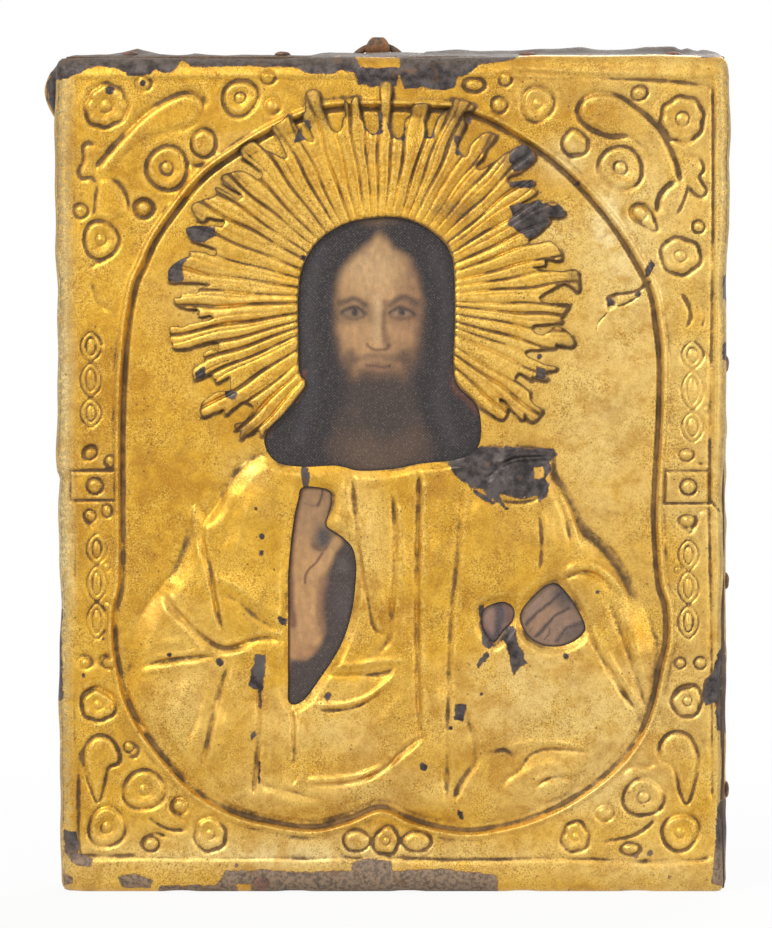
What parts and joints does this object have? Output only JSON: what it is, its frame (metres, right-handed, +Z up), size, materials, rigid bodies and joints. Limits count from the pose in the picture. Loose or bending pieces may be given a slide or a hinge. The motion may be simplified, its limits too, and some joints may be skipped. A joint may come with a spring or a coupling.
{
  "type": "orthodox icon",
  "caption": "Painted wooden panel icon under a stamped gilt metal cover with a rayed halo plate, battens at the back and a swinging hanging ring.",
  "frame": {"origin": "middle of the flat underside of the bottom edge, at half the wooden board's thickness", "axes": "+Z up the panel, the painted side faces -Y, +X to the right of someone who looks at it"},
  "size_m": [0.1827, 0.0304, 0.2285],
  "materials": {
    "board_wood": "old bare pine, darkened",
    "batten_wood": "old bare wood",
    "painted_ground": "oil paint on a chalk ground, satin, crackled",
    "gilt_sheet": "gold lacquer on thin sheet metal, worn",
    "rusty_nail": "rusted",
    "hanger_iron": "rusted sheet and wire"
  },
  "bodies": {
    "icon": {"panel_board": "board_wood", "back_batten_upper": "batten_wood", "back_batten_lower": "batten_wood", "painted_ground": "painted_ground", "cover_sheet": "gilt_sheet", "halo_plate": "gilt_sheet", "cover_nail_left_1": "rusty_nail", "cover_nail_left_2": "rusty_nail", "cover_nail_left_3": "rusty_nail", "cover_nail_left_4": "rusty_nail", "cover_nail_right_1": "rusty_nail", "cover_nail_right_2": "rusty_nail", "cover_nail_right_3": "rusty_nail", "cover_nail_right_4": "rusty_nail", "cover_nail_top_1": "rusty_nail", "cover_nail_top_2": "rusty_nail", "cover_nail_top_3": "rusty_nail", "cover_nail_top_4": "rusty_nail", "cover_nail_bottom": "rusty_nail", "hanger_strap": "hanger_iron", "hanger_nail_1": "rusty_nail", "hanger_nail_2": "rusty_nail"},
    "ring": {"hanger_ring": "hanger_iron"}
  },
  "joints": [
    {"name": "ring_swing", "type": "hinge", "parent": "icon", "child": "ring", "pos_m": [-0.00457, 0.01315, 0.2259], "axis": [1, 0, 0], "range_deg": [0, 275]}
  ]
}
